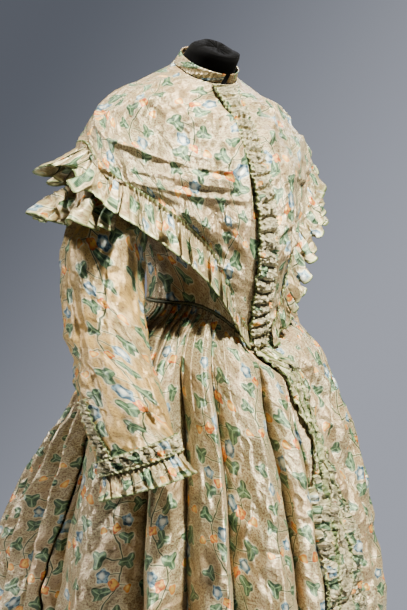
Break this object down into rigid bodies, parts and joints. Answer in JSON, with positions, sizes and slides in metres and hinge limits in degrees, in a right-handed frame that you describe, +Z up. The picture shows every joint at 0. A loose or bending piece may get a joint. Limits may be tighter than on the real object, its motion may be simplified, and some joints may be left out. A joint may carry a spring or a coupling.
{
  "type": "afternoon dress on a dress form",
  "caption": "Long-sleeved, full-skirted afternoon dress with a pointed waist and a frilled pelerine collar, standing on a limbless dress form with a round foot.",
  "frame": {"origin": "centre of the stand's round foot, on its underside", "axes": "+Z up, the dress's front faces -Y, the wearer's left is +X"},
  "size_m": [0.7711, 0.9071, 1.365],
  "materials": {
    "printed_cloth": "lustrous printed dress cloth with a small floral pattern",
    "ruched_trim": "the dress cloth gathered into puffs with green pinked edges",
    "piping": "dark olive covered cord",
    "form_cover": "matt black jersey over padding",
    "stand_steel": "black paint"
  },
  "bodies": {
    "root": {"form_body": "form_cover", "stand_pole": "stand_steel", "stand_foot": "stand_steel", "bodice_back": "printed_cloth", "bodice_front_left": "printed_cloth", "bodice_front_right": "printed_cloth", "collar_back": "printed_cloth", "collar_frill_back": "printed_cloth", "collar_frill_left": "printed_cloth", "collar_frill_right": "printed_cloth", "collar_front_left": "printed_cloth", "collar_front_right": "printed_cloth", "cuff_frill_left": "printed_cloth", "cuff_frill_right": "printed_cloth", "cuff_trim_left": "ruched_trim", "cuff_trim_right": "ruched_trim", "front_trim_bodice": "ruched_trim", "front_trim_skirt": "ruched_trim", "neckband": "printed_cloth", "shoulder_frill_left": "printed_cloth", "shoulder_frill_right": "printed_cloth", "skirt_back": "printed_cloth", "skirt_back_left": "printed_cloth", "skirt_back_right": "printed_cloth", "skirt_front": "printed_cloth", "skirt_side_left": "printed_cloth", "skirt_side_right": "printed_cloth", "sleeve_left": "printed_cloth", "sleeve_right": "printed_cloth", "slit_trim_left": "ruched_trim", "slit_trim_right": "ruched_trim", "waist_piping": "piping"}
  },
  "joints": []
}
